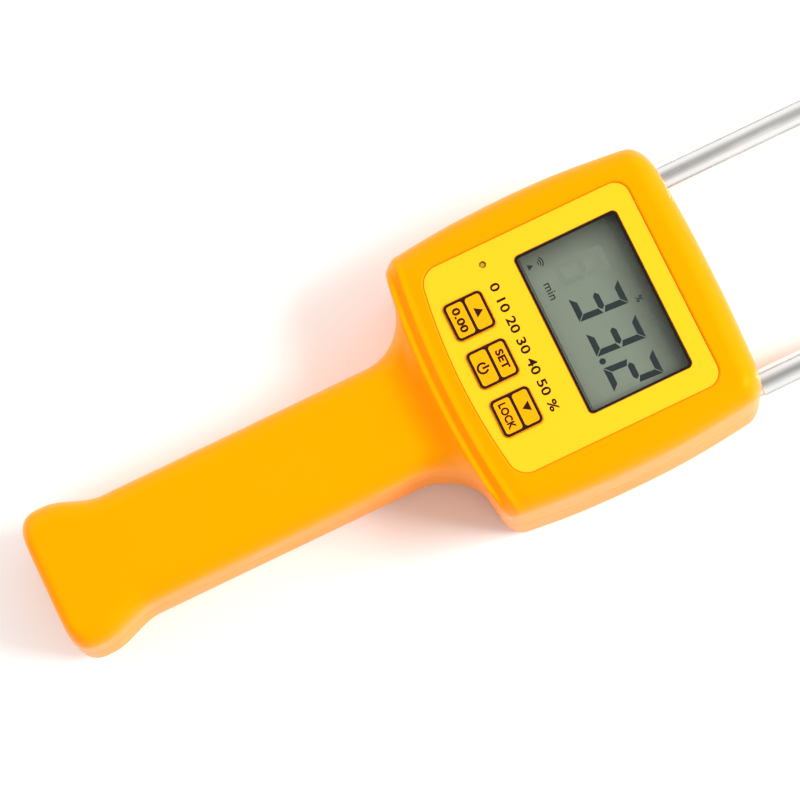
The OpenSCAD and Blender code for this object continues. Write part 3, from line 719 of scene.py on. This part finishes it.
class METER_OT_keys(bpy.types.Operator):
    """Model the three key caps with their outlines and signs"""

    bl_idname = "meter.keys"
    bl_label = "Keys"

    def execute(self, context):
        settings = context.scene.meter_keys
        side, edge, line = (v / MM for v in (settings.side, settings.edge, settings.outline))
        thin = context.scene.meter_face.print_height / MM
        tall, centre = side + 0.4, (0, KEYS_Y - KEY_DROP)
        low, high = FACE_Z, FACE_Z + thin
        cap = self.cap(side, tall, edge, centre)
        outline = self.outline(side - 2 * edge, tall - 2 * edge, line, centre, low, high)

        upper, lower, arrow = KEYS_Y + 2.45, KEYS_Y - 2.65, 0.95

        def word(text, y, wide):
            return lettering(text, (0, y), 2.05, low, thin * MM, 0.038, 1.05, wide)

        def triangle(way):
            return prism([(-1.3, upper - arrow), (1.3, upper - arrow), (0, upper + 1.05)] if way > 0 else
                         [(-1.3, upper + arrow), (0, upper - 1.05), (1.3, upper + arrow)], low, high)

        signs = {
            -1: [triangle(1), word("0.00", lower, 6.5)],
            0: [word("SET", upper, 5.1), arc_band((0, lower - 0.2), 1.25, 0.54, 125, 415, low, high, 28),
                block((-0.27, lower - 0.3, low), (0.27, lower + 1.5, high))],
            1: [triangle(-1), word("LOCK", lower, 6.8)],
        }
        for k, name in KEY_NAMES.items():
            shift = (k * KEY_PITCH, 0, 0)
            finished(twin(cap, shift), name + "_cap", "key_rubber", name, [name])
            marks = settle(join([twin(outline)] + signs[k]))
            marks.data.transform(Matrix.Translation(Vector(shift) * MM))
            finished(marks, name + "_print", "key_ink", name)
        for piece in (cap, outline):
            bpy.data.objects.remove(piece)
        return {"FINISHED"}

    def cap(self, side, tall, edge, centre):
        """A key's cap with a rounded upper edge, the skirt that holds it in and its boss below"""
        rim = [(-edge * (1 - math.cos(a)), FACE_Z - edge * (1 - math.sin(a)))
               for a in (math.pi / 8 * k for k in range(5))]
        cap = slab(rounded_outline(side, tall, 1.4, centre), [(0, 32.4), *rim])
        skirt = rounded_outline(side + 1.6, tall + 1.4, 1.5, centre)
        combine(cap, slab(skirt, [(-0.1, 31.6), (0, 31.7), (0, 32.5), (-0.1, 32.6)]), "UNION")
        boss = turned((0, KEYS_Y, 30.6), [(0, 1.9), (0.1, 2), (1.4, 2)], 40, "Z")
        return smooth(combine(cap, boss, "UNION"), 32)

    def outline(self, wide, tall, line, centre, low, high):
        """The printed frame round a key's two fields"""
        split = 0.36
        frame_print = slab(rounded_outline(wide, tall, 1.3, centre), [(0, low), (0, high)])
        for end in (centre[1] + tall / 2 - line, centre[1] - tall / 2 + line):
            start = KEYS_Y + math.copysign(split, end - KEYS_Y)
            field = rounded_outline(wide - 2 * line, abs(end - start), 0.75, (0, (start + end) / 2))
            combine(frame_print, slab(field, [(0, low - 1), (0, high + 1)]))
        return frame_print


# ---- probes ----


class METER_OT_probes(bpy.types.Operator):
    """Model the two polished rods and their pointed tips"""

    bl_idname = "meter.probes"
    bl_label = "Probes"

    def execute(self, context):
        point = context.scene.meter_probes.tip_flat / MM
        rod = turned((ROD_X, ROD_Y, ROD_Z), [
            (0, 2.8), (0, 3.4), (0.1, 3.5), (39, 3.5), (39, 3.85), (39.15, 4), (120, 4), (210, 4),
            (300.85, 4), (301, 3.88), (301, 2.8), (0, 2.8)], 96, hollow=True)
        tip = turned((ROD_X, 428, ROD_Z), [
            (0, 2.6), (0.2, 2.8), (14, 2.8), (14, 3.88), (14.15, 3.98), (20, 2.83), (26, 1.62),
            (31.7, point + 0.08), (31.9, point), (32, point * 0.6)], 96)
        for piece in (rod, tip):
            smooth(piece, 25)
        for side, name in ((1, "right"), (-1, "left")):
            for piece, part in ((rod, "probe_rod_" + name), (tip, "probe_tip_" + name)):
                finished(twin(piece, flip=(side, 1, 1)), part + "_steel", "polished_steel", "casing",
                         [part])
        for piece in (rod, tip):
            bpy.data.objects.remove(piece)
        return {"FINISHED"}


# ---- battery bay ----


class METER_OT_door(bpy.types.Operator):
    """Model the battery door with its hinge edge, hooks, thumb tongue and ridges"""

    bl_idname = "meter.door"
    bl_label = "Battery door"

    def execute(self, context):
        hinge_x = 9.4
        door = block((-11.4, 20.2, -1), (11.4, 70.8, 3.2))
        bevel_edges(door, 0.5, 3, upright)
        combine(door, half_shell(-1), "INTERSECT")
        combine(door, block((-13, 19, 0), (13, 21, 2.2)))
        parts = [pin((-hinge_x, 21, 2.2), 0.8, 2 * hinge_x, 32, "X")]
        for x in (-hinge_x, hinge_x):
            hook = block((x - 1.2, 20.2, 2.7), (x + 1.2, 21.4, 4.6))
            parts.append(combine(hook, block((x - 1.2, 18.5, 3.8), (x + 1.2, 21.4, 4.6)), "UNION"))
        for part in parts:
            combine(door, part, "UNION")
        # slots beside the thumb tongue, its ridges and an arrow
        grooves = [block((x, 61.8, -1), (x + 0.6, 72, 5)) for x in (-4.6, 4)]
        for k in range(4):
            groove = block((-3, 67.8 - 1.5 * k, 0), (3, 68.5 - 1.5 * k, 1.8))
            grooves.append(bevel_edges(
                groove, 0.25, 2, lambda m, ends: m.z > 1.7 and abs(ends[0].y - ends[1].y) < 1e-3))
        grooves.append(prism([(-2.2, 55.0), (2.2, 55.0), (0, 58.4)], 0, 1.65))
        combine(door, join(grooves))
        smooth(door, 28)
        finished(door, "battery_door_lid", "moulded_plastic", "battery_door", ["battery_door"])
        return {"FINISHED"}


class METER_OT_cells(bpy.types.Operator):
    """Model the four cells with their sleeves and metal ends"""

    bl_idname = "meter.cells"
    bl_label = "Cells"

    def execute(self, context):
        cell = turned((-CELL_X, CELL_Y, CELL_LOW_Z), [
            (0.3, 2.9), (0, 3.3), (0, 4.6), (0.2, 4.9), (0.5, 5.0), (0.55, 5.25), (14, 5.25), (14.3, 5.25),
            (43.0, 5.25), (43.3, 5.1), (43.35, 4.75), (43.55, 4.6), (43.7, 4.2), (43.7, 1.95), (44.2, 1.9),
            (44.5, 1.65)], 56)
        smooth(cell, 30)
        for name in ("cell_sleeve", "nickel_plate"):
            cell.data.materials.append(bpy.data.materials[name])
        for f in cell.data.polygons:
            spot = f.center / MM - Vector((-CELL_X, 0, CELL_LOW_Z))
            f.material_index = 0 if math.hypot(spot.x, spot.z) > 4.98 else 1
        rise = CELL_HIGH_Z - CELL_LOW_Z
        swap = sum(place(0, y, 0).y / MM for y in BAY_ENDS_Y)
        # turned end for end beside each other and between the layers
        places = [((0, 0, 0), (1, 1, 1)), ((0, swap, 0), (-1, -1, 1)), ((0, 0, rise), (-1, 1, 1)),
                  ((0, swap, rise), (1, -1, 1))]
        for k, (shift, flip) in enumerate(places, 1):
            finished(twin(cell, shift, flip), f"cell_{k}_cell", None, "casing", [f"cell_{k}"])
        bpy.data.objects.remove(cell)
        return {"FINISHED"}


class METER_OT_inner_parts(bpy.types.Operator):
    """Give every part that stays from the CAD model its finish"""

    bl_idname = "meter.inner_parts"
    bl_label = "Inner parts"

    def execute(self, context):
        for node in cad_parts.values():
            if not node.hide_render:
                slot = node.material_slots[0]
                slot.material = bpy.data.materials[FINISHES[slot.material.name.split(".")[0]]]
        return {"FINISHED"}


# ---- finishes ----

# finish of each material slot of the CAD model
FINISHES = {
    "casing": "moulded_plastic", "label_film": "face_film", "clear_window": "clear_acrylic",
    "lcd_glass": "display_glass", "black_plastic": "black_abs", "conductive_rubber": "contact_rubber",
    "circuit_board": "solder_mask", "plated_metal": "nickel_plate", "component_sleeve": "blue_sleeve",
    "led_lens": "lamp_lens", "key_caps": "key_rubber", "white_plastic": "natural_plastic",
    "probe_steel": "polished_steel", "socket_brass": "turned_brass", "black_sleeve": "black_wire",
    "red_sleeve": "red_wire", "cell_jacket": "cell_sleeve",
}


def group(name, inputs, *outputs):
    """A node group with its sockets from their default values, and its input and output nodes"""
    tree = bpy.data.node_groups.new(name, "ShaderNodeTree")
    kinds = {float: "NodeSocketFloat", tuple: "NodeSocketVector"}
    for title, value in inputs.items():
        kind = "NodeSocketColor" if title == "Colour" else kinds[type(value)]
        tree.interface.new_socket(name=title, in_out="INPUT", socket_type=kind).default_value = value
    for title in outputs:
        kind = "NodeSocketColor" if title == "Colour" else "NodeSocketFloat"
        tree.interface.new_socket(name=title, in_out="OUTPUT", socket_type=kind)
    return tree, tree.nodes.new("NodeGroupInput"), tree.nodes.new("NodeGroupOutput")


def feed(tree, node, values):
    """Links or sets a node's inputs"""
    for key, value in values.items():
        if isinstance(value, bpy.types.NodeSocket):
            tree.links.new(value, node.inputs[key])
        else:
            node.inputs[key].default_value = value
    return node


def add(tree, kind, values, **settings):
    """A node with its settings, and its inputs linked or set"""
    made = tree.nodes.new("ShaderNode" + kind)
    for key, value in settings.items():
        setattr(made, key, value)
    return feed(tree, made, values)


def use(tree, name, **values):
    """A shared effect, placed with its own values"""
    made = tree.nodes.new("ShaderNodeGroup")
    made.node_tree = bpy.data.node_groups[name]
    return feed(tree, made, values)


def here(tree):
    """Object coordinates"""
    return add(tree, "TexCoord", {}).outputs["Object"]


def maths(tree, how, *values):
    return add(tree, "Math", dict(enumerate(values)), operation=how).outputs[0]


def product(tree, first, second):
    return add(tree, "VectorMath", {0: first, 1: second}, operation="MULTIPLY").outputs[0]


def scaled(tree, colour_in, share):
    return add(tree, "VectorMath", {0: colour_in, "Scale": share}, operation="SCALE").outputs[0]


def remap(tree, value, low, high, first, last, **settings):
    """A value moved from one range to another"""
    ranges = {"Value": value, "From Min": low, "From Max": high, "To Min": first, "To Max": last}
    return add(tree, "MapRange", ranges, **settings).outputs[0]


def noise(tree, spot, size, detail, **values):
    return add(tree, "TexNoise", {"Vector": spot, "Scale": size, "Detail": detail, **values}).outputs["Fac"]


def build_groups():
    """The effects that several finishes share"""
    # fine moulded or coated grain: a height from two sizes of speckle
    tree, start, end = group("Fine grain", {"Size": 1500.0, "Stretch": (1, 1, 1)}, "Height")
    spot, size = product(tree, here(tree), start.outputs["Stretch"]), start.outputs["Size"]
    fine = noise(tree, spot, size, 3.0, Roughness=0.55)
    pits = add(tree, "TexVoronoi", {"Vector": spot, "Scale": size}, feature="SMOOTH_F1").outputs["Distance"]
    feed(tree, end, {"Height": maths(tree, "ADD", fine, pits)})

    # soft change of tone over a surface
    tree, start, end = group("Tone change", {"Colour": (1, 1, 1, 1), "Darker": 0.94, "Size": 40.0}, "Colour")
    cloud = noise(tree, here(tree), start.outputs["Size"], 4.0)
    share = remap(tree, cloud, 0.35, 0.65, start.outputs["Darker"], 1.0)
    feed(tree, end, {"Colour": scaled(tree, start.outputs["Colour"], share)})

    # handling: faint rubbed patches and fine scuffs that change the gloss
    tree, start, end = group("Rubbed gloss", {"Roughness": 0.4, "Spread": 0.08, "Size": 60.0}, "Roughness")
    spot = here(tree)
    patch = noise(tree, spot, start.outputs["Size"], 5.0, Roughness=0.6)
    long_way = add(tree, "Mapping", {"Vector": spot, "Scale": (1.0, 0.06, 1.0), "Rotation": (0, 0, 0.35)})
    scuff = noise(tree, long_way.outputs[0], 900.0, 2.0)
    around = remap(tree, maths(tree, "MULTIPLY", patch, scuff), 0.1, 0.4, -1.0, 1.0)
    gloss = maths(tree, "MULTIPLY_ADD", around, start.outputs["Spread"], start.outputs["Roughness"])
    feed(tree, end, {"Roughness": gloss})

    # drawn or brushed metal: long streaks along Y
    tree, start, end = group("Drawn streaks", {"Size": 2500.0, "Along": 0.01}, "Height", "Roughness")
    along = add(tree, "CombineXYZ", {"X": 1.0, "Y": start.outputs["Along"], "Z": 1.0}).outputs[0]
    streak = noise(tree, product(tree, here(tree), along), start.outputs["Size"], 4.0, Roughness=0.6)
    feed(tree, end, {"Height": streak, "Roughness": remap(tree, streak, 0.3, 0.7, -0.05, 0.07)})


def finish_of(name, base, rough, darker=0.95, tone_size=40.0, spread_by=0.05, grain=1800.0, depth=1e-5,
              strength=0.1, stretch=(1, 1, 1), **shader):
    """A finish: its colour with a soft tone change, its gloss with rubbed patches and its grain as bump"""
    finish = bpy.data.materials.new(name)
    finish.use_nodes = True
    tree = finish.node_tree
    tone = use(tree, "Tone change", Colour=(*base, 1.0), Darker=darker, Size=tone_size)
    gloss = use(tree, "Rubbed gloss", Roughness=rough, Spread=spread_by)
    surface = feed(tree, tree.nodes["Principled BSDF"], {
        "Base Color": tone.outputs["Colour"], "Roughness": gloss.outputs["Roughness"],
        **{key.replace("_", " "): value for key, value in shader.items()}})
    if strength:
        texture = use(tree, "Fine grain", Size=grain, Stretch=stretch)
        bump = {"Height": texture.outputs["Height"], "Strength": strength, "Distance": depth}
        feed(tree, surface, {"Normal": add(tree, "Bump", bump).outputs["Normal"]})
    return tree, surface


def source(surface, title):
    """The socket that feeds one of a surface's inputs"""
    return surface.inputs[title].links[0].from_socket


def overlay(tree, surface, share, tint):
    """Lays a colour over the base colour where share is 1"""
    values = {0: share, 6: source(surface, "Base Color"), 7: (*tint, 1)}
    feed(tree, surface, {"Base Color": add(tree, "Mix", values, data_type="RGBA").outputs[2]})


class METER_OT_finishes(bpy.types.Operator):
    """Mix the finish of every surface"""

    bl_idname = "meter.finishes"
    bl_label = "Finishes"

    def execute(self, context):
        scene = context.scene
        casing, face, keys = scene.meter_casing, scene.meter_face, scene.meter_keys
        ghost = tuple(c * 0.88 for c in face.display)
        dull, warm = {"Specular_IOR_Level": 0.15}, {"IOR": 1.45, "Specular_Tint": (1, 0.8, 0.1, 1)}
        moulded = {"IOR": 1.46, "Specular_Tint": (1, 0.6, 0.03, 1), "Specular_IOR_Level": 0.36}
        build_groups()
        # colour, roughness, darkest tone, tone size, gloss change, grain size, depth and strength, others
        for name, *values, others in (
            ("moulded_plastic", casing.plastic, 0.34, 0.98, 18.0, 0.05, 2600.0, 12e-6, casing.grain * 2,
             moulded),
            ("face_film", face.film, 0.34, 0.985, 25.0, 0.04, 5200.0, 6e-6, 0.06, warm),
            ("key_rubber", keys.rubber, 0.38, 0.96, 60.0, 0.05, 5200.0, 6e-6, 0.08,
             {"IOR": 1.45, "Specular_Tint": (1, 0.6, 0, 1)}),
            ("printed_ink", face.ink, 0.5, 0.9, 300.0, 0.05, 6000.0, 4e-6, 0.08, dull),
            ("key_ink", (0.018, 0.004, 0.0005), 0.5, 0.9, 300.0, 0.05, 6000.0, 4e-6, 0.08, dull),
            ("display_dark", (0.010, 0.018, 0.020), 0.4, 0.93, 250.0, 0.03, 9000.0, 2e-6, 0.05,
             {"Specular_IOR_Level": 0.2}),
            ("display_faint", ghost, 0.32, 0.97, 120.0, 0.03, 9000.0, 2e-6, 0.05, {}),
            ("black_abs", (0.018, 0.018, 0.02), 0.45, 0.85, 90.0, 0.08, 2600.0, 10e-6, 0.1, {}),
            ("contact_rubber", (0.03, 0.03, 0.035), 0.7, 0.8, 900.0, 0.1, 3000.0, 10e-6, 0.15,
             {"stretch": (3, 0.1, 0.1)}),
            ("blue_sleeve", (0.02, 0.045, 0.22), 0.35, 0.9, 120.0, 0.06, 3000.0, 6e-6, 0.06, {}),
            ("natural_plastic", (0.74, 0.72, 0.64), 0.4, 0.95, 120.0, 0.06, 3000.0, 8e-6, 0.08, {}),
            ("black_wire", (0.02, 0.02, 0.02), 0.5, 0.85, 150.0, 0.08, 4000.0, 10e-6, 0.12, {}),
            ("red_wire", (0.52, 0.012, 0.010), 0.45, 0.88, 150.0, 0.08, 4000.0, 10e-6, 0.12, {}),
            ("nickel_plate", (0.60, 0.60, 0.62), 0.28, 0.9, 200.0, 0.08, 3500.0, 5e-6, 0.1,
             {"Metallic": 1.0}),
            ("turned_brass", (0.66, 0.46, 0.17), 0.3, 0.88, 150.0, 0.08, 2500.0, 6e-6, 0.12,
             {"stretch": (1, 0.05, 1), "Metallic": 1.0}),
            ("lamp_lens", (0.55, 0.38, 0.01), 0.2, 0.85, 600.0, 0.05, 4000.0, 4e-6, 0.05,
             {"Coat_Weight": 0.4, "Coat_Roughness": 0.1}),
        ):
            finish_of(name, *values, **others)
        self.display(face)
        self.board()
        self.cell()
        self.steel(scene.meter_probes)
        self.window()
        return {"FINISHED"}

    def display(self, face):
        """A grey-green reflector with painted shade: its colour darkens under the frame's upper and left
        edges, where the frame's shadow falls
        """
        tree, surface = finish_of("display_glass", face.display, 0.30, 0.965, 70.0, 0.03, 9000.0, 2e-6, 0.05)
        apart = add(tree, "SeparateXYZ", {0: here(tree)})
        top = (place(0, WINDOW_Y + 1, 0).y, place(0, WINDOW_Y + 13.5, 0).y)
        level = 1.0
        # painted shade: the base colour is darkened toward the frame's upper (+Y) and left (-X) edges
        for axis, (near, far), dark in (("Y", top, 0.42), ("X", (-0.013, -0.0215), 0.62)):
            painted_shade = remap(tree, apart.outputs[axis], near, far, 1.0, dark, interpolation_type="SMOOTHSTEP")
            level = maths(tree, "MULTIPLY", painted_shade, level)
        feed(tree, surface, {"Base Color": scaled(tree, source(surface, "Base Color"), level)})

    def board(self):
        """Green solder mask with paler tracks and gold pads under it"""
        tree, surface = finish_of(
            "solder_mask", (0.006, 0.10, 0.035), 0.32, 0.9, 90.0, 0.05, 2500.0, 6e-6, 0.1)
        spot = here(tree)
        for size, feature, low, high, tint in (
            (230.0, "DISTANCE_TO_EDGE", 0.03, 0.05, (0.02, 0.22, 0.07)),
            (320.0, "F1", 0.12, 0.14, (0.62, 0.48, 0.18)),
        ):
            marks = add(tree, "TexVoronoi", {"Vector": spot, "Scale": size}, feature=feature)
            overlay(tree, surface, remap(tree, marks.outputs["Distance"], low, high, 1.0, 0.0), tint)

    def cell(self):
        """A printed sleeve: a dark body with a copper band at one end"""
        tree, surface = finish_of(
            "cell_sleeve", (0.02, 0.02, 0.025), 0.3, 0.9, 80.0, 0.06, 3000.0, 4e-6, 0.06)
        apart = add(tree, "SeparateXYZ", {0: here(tree)})
        middle, between_layers = place(0, sum(BAY_ENDS_Y) / 2, 0).y, 0.0145
        from_middle = maths(tree, "SUBTRACT", apart.outputs["Y"], middle)
        # cells beside each other point opposite ways, so the band changes ends with the side and the layer
        side = maths(tree, "SIGN", apart.outputs["X"])
        layer = maths(tree, "SIGN", maths(tree, "SUBTRACT", apart.outputs["Z"], between_layers))
        toward = maths(tree, "MULTIPLY", from_middle, maths(tree, "MULTIPLY", side, layer))
        band = remap(tree, toward, 0.0100, 0.0102, 0.0, 1.0)
        overlay(tree, surface, band, (0.62, 0.27, 0.09))
        feed(tree, surface, {"Metallic": band})

    def steel(self, probes):
        """Polished stainless steel with drawn streaks along the rods"""
        tree, surface = finish_of(
            "polished_steel", probes.steel, probes.polish, 0.95, 60.0, 0.04, strength=0, Metallic=1.0)
        streaks = use(tree, "Drawn streaks", Size=2200.0, Along=0.006)
        gloss = maths(tree, "ADD", source(surface, "Roughness"), streaks.outputs["Roughness"])
        bump = add(tree, "Bump", {"Height": streaks.outputs["Height"], "Strength": 0.08, "Distance": 1e-5})
        feed(tree, surface, {"Roughness": gloss, "Normal": bump.outputs["Normal"]})

    def window(self):
        """A clear pane that shows only its faint gloss"""
        tree, surface = finish_of("clear_acrylic", (0.55, 0.60, 0.56), 0.08, 0.97, 60.0, 0.02, strength=0)
        edge = add(tree, "Fresnel", {"IOR": 1.35}).outputs[0]
        feed(tree, surface, {"Alpha": maths(tree, "MULTIPLY_ADD", edge, 0.35, 0.004)})


# ---- floor, light and camera ----


KEY_LIGHT = ((0.60, 1.24, 1.30), (0, -0.02, 0), 0.9)
FILL_LIGHT = ((-1.25, -1.05, 1.0), (0, -0.05, 0), 1.4)
# brightness of the room from the horizon to straight up, with a dark strip low down
ROOM = [(0.0, 1.3), (1.0, 0.42), (0.02, 1.3), (0.04, 0.25), (0.15, 0.25), (0.2, 1.3), (0.65, 1.25),
        (0.9, 0.7)]
CAMERA_PLACE, CAMERA_RIGHT = (0.1919, -0.1648, 0.9953), (0.4286, 0.9018, -0.0561)
CAMERA_BACK = (0.1976, -0.0330, 0.9797)


def area_light(name, spot, aim, side, power):
    """A square light, its places and side in metres and its power in watts"""
    clear_selection()
    bpy.ops.object.light_add(type="AREA", location=spot)
    light = bpy.context.object
    light.name = name
    light.data.shape, light.data.size, light.data.energy = "SQUARE", side, power
    light.rotation_euler = (Vector(aim) - Vector(spot)).to_track_quat("-Z", "Y").to_euler()


class METER_OT_stage(bpy.types.Operator):
    """Set the pale floor, the soft studio light and the camera"""

    bl_idname = "meter.stage"
    bl_label = "Stage"

    def execute(self, context):
        settings = context.scene.meter_stage
        self.floor(settings.floor)
        self.room(context.scene)
        area_light("key_light", *KEY_LIGHT, settings.key_power)
        area_light("fill_light", *FILL_LIGHT, settings.fill_power)
        back = Vector(CAMERA_BACK).normalized()
        up = back.cross(Vector(CAMERA_RIGHT).normalized()).normalized()
        turn = Matrix((up.cross(back), up, back)).transposed().to_4x4()
        clear_selection()
        bpy.ops.object.camera_add()
        camera = bpy.context.object
        camera.matrix_world = Matrix.Translation(CAMERA_PLACE) @ turn
        camera.data.lens, camera.data.sensor_width = settings.lens, 36.0
        camera.data.clip_start, camera.data.clip_end = 0.05, 50.0
        context.scene.camera = camera
        context.scene.view_settings.view_transform = "Standard"
        return {"FINISHED"}

    def floor(self, side):
        clear_selection()
        bpy.ops.mesh.primitive_grid_add(x_subdivisions=4, y_subdivisions=4, size=side, location=(0, 0, 0))
        floor = settle(bpy.context.object)
        floor.name = "floor"
        paper = bpy.data.materials.new("floor_paper")
        paper.use_nodes = True
        tree = paper.node_tree
        tone = use(tree, "Tone change", Colour=(0.93, 0.93, 0.93, 1.0), Darker=0.995, Size=3.0)
        feed(tree, tree.nodes["Principled BSDF"], {
            "Base Color": tone.outputs["Colour"], "Roughness": 0.9, "Specular IOR Level": 0.1})
        floor.data.materials.append(paper)

    def room(self, scene):
        """Light from all round, brighter on the side the large light stands"""
        scene.world = bpy.data.worlds.new("studio")
        scene.world.use_nodes = True
        tree = scene.world.node_tree
        spot = add(tree, "TexCoord", {}).outputs["Generated"]
        apart = add(tree, "SeparateXYZ", {0: spot})
        ramp = add(tree, "ValToRGB", {0: apart.outputs["Z"]})
        points = ramp.color_ramp.elements
        for k, (at, level) in enumerate(ROOM):
            point = points[k] if k < 2 else points.new(at)
            point.position, point.color = at, (level, level, level, 1)
        side = maths(tree, "MULTIPLY_ADD", apart.outputs["Y"], 0.32, 0.8)
        feed(tree, tree.nodes["Background"], {0: scaled(tree, ramp.outputs[0], side)})


class METER_PT_panel(bpy.types.Panel):
    """The meter's settings and the steps that build it"""

    bl_idname = "METER_PT_panel"
    bl_label = "Moisture meter"
    bl_space_type = "VIEW_3D"
    bl_region_type = "UI"
    bl_category = "Meter"

    def draw(self, context):
        for title, settings, operators in SECTIONS:
            box = self.layout.box()
            box.label(text=title)
            group_of = getattr(context.scene, settings)
            for key in type(group_of).__annotations__:
                box.prop(group_of, key)
            for operator in operators:
                box.operator(operator.bl_idname)


SECTIONS = [
    ("Casing", "meter_casing", [METER_OT_casing, METER_OT_door]),
    ("Face", "meter_face", [METER_OT_face, METER_OT_display]),
    ("Keys", "meter_keys", [METER_OT_keys]),
    ("Probes", "meter_probes", [METER_OT_probes]),
    ("Stage", "meter_stage", [METER_OT_finishes, METER_OT_cells, METER_OT_inner_parts, METER_OT_stage]),
]
GROUPS = {
    "meter_casing": CasingSettings, "meter_face": FaceSettings, "meter_keys": KeySettings,
    "meter_probes": ProbeSettings, "meter_stage": StageSettings,
}
CLASSES = [
    *GROUPS.values(), METER_OT_finishes, METER_OT_casing, METER_OT_face, METER_OT_display, METER_OT_keys,
    METER_OT_probes, METER_OT_door, METER_OT_cells, METER_OT_inner_parts, METER_OT_stage, METER_PT_panel,
]


def register():
    for kind in CLASSES:
        bpy.utils.register_class(kind)
    for name, kind in GROUPS.items():
        setattr(bpy.types.Scene, name, bpy.props.PointerProperty(type=kind))


def unregister():
    for name in GROUPS:
        delattr(bpy.types.Scene, name)
    for kind in reversed(CLASSES):
        bpy.utils.unregister_class(kind)


def main():
    register()
    for step in ("finishes", "casing", "door", "face", "display", "keys", "probes", "cells",
                 "inner_parts", "stage"):
        getattr(bpy.ops.meter, step)()


if __name__ == "__main__":
    main()
